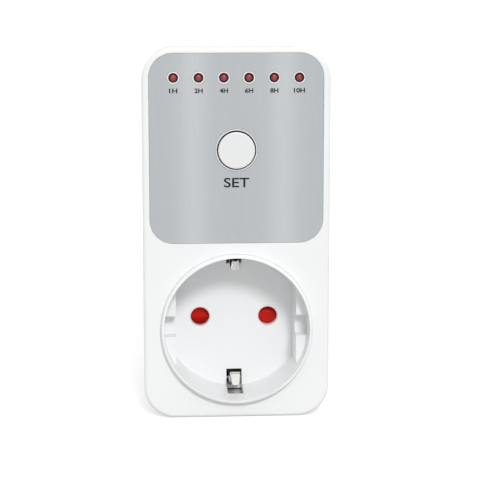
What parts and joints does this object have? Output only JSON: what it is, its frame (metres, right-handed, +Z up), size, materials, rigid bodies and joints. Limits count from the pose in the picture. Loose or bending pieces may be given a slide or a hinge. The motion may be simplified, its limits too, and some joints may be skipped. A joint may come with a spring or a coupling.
{
  "type": "plug-in timer switch",
  "caption": "Plug-in countdown timer switch: drafted white two-shell body, silver panel with lamps and a set button, side-earthed socket in front and plug behind.",
  "frame": {"origin": "centre of the plug's engagement face, on the common axis of plug and socket", "axes": "front faces -Y, plug pins point to +Y, +Z is up along the body's length"},
  "size_m": [0.0504, 0.0753, 0.1008],
  "materials": {
    "white_shell": "satin moulded",
    "white_button": "satin moulded",
    "brushed_panel": "vertically brushed",
    "red_lamp": "clear tinted",
    "red_shutter": "satin moulded",
    "black_plastic": "matt moulded",
    "grey_plastic": "matt moulded",
    "spring_steel": "drawn",
    "nickel_strip": "nickel plated",
    "contact_brass": "rolled strip",
    "nickel_pin": "nickel plated, turned",
    "green_board": "solder resist",
    "relay_case": "moulded",
    "yellow_film": "moulded case",
    "black_sleeve": "shrink sleeve",
    "blue_disc": "dipped",
    "resistor_body": "lacquered",
    "screw_steel": "zinc plated"
  },
  "bodies": {
    "housing": {"front_cover": "white_shell", "rear_housing": "white_shell", "socket_well": "white_shell", "panel_plate": "brushed_panel", "led_1h": "red_lamp", "led_2h": "red_lamp", "led_4h": "red_lamp", "led_6h": "red_lamp", "led_8h": "red_lamp", "led_10h": "red_lamp", "led_spacer": "black_plastic", "contact_carrier": "grey_plastic", "shutter_spring": "spring_steel", "earth_bow": "nickel_strip", "live_contact": "contact_brass", "neutral_contact": "contact_brass", "live_feed_strip": "contact_brass", "neutral_feed_strip": "contact_brass", "live_pin": "nickel_pin", "neutral_pin": "nickel_pin", "control_board": "green_board", "power_board": "green_board", "timer_chip": "black_plastic", "clock_crystal": "nickel_strip", "board_header": "black_plastic", "switch_body": "black_plastic", "relay": "relay_case", "dropper_capacitor": "yellow_film", "smoothing_capacitor": "black_sleeve", "surge_varistor": "blue_disc", "fuse": "black_plastic", "bridge_rectifier": "black_plastic", "board_resistors": "resistor_body", "housing_screws": "screw_steel", "board_screws": "screw_steel"},
    "button": {"set_button": "white_button", "switch_plunger": "black_plastic"},
    "shutter": {"shutter": "red_shutter"},
    "upper_clip": {"upper_earth_clip": "nickel_strip"},
    "lower_clip": {"lower_earth_clip": "nickel_strip"}
  },
  "joints": [
    {"name": "button_press", "type": "slide", "parent": "housing", "child": "button", "axis": [0, 1, 0], "range_m": [0, 0.0005], "stiffness_N_per_m": 2000, "springref_m": -0.0003},
    {"name": "shutter_turn", "type": "hinge", "parent": "housing", "child": "shutter", "pos_m": [0, -0.0353, 0], "axis": [0, 1, 0], "range_deg": [0, 36], "stiffness_Nm_per_rad": 0.004, "springref_deg": -17.19},
    {"name": "upper_clip_flex", "type": "hinge", "parent": "housing", "child": "upper_clip", "pos_m": [0, -0.032, 0.0178], "axis": [-1, 0, 0], "range_deg": [0, 6.5], "stiffness_Nm_per_rad": 0.5, "springref_deg": -1.15},
    {"name": "lower_clip_flex", "type": "hinge", "parent": "housing", "child": "lower_clip", "pos_m": [0, -0.032, -0.0178], "axis": [1, 0, 0], "range_deg": [0, 6.5], "stiffness_Nm_per_rad": 0.5, "springref_deg": -1.15}
  ]
}
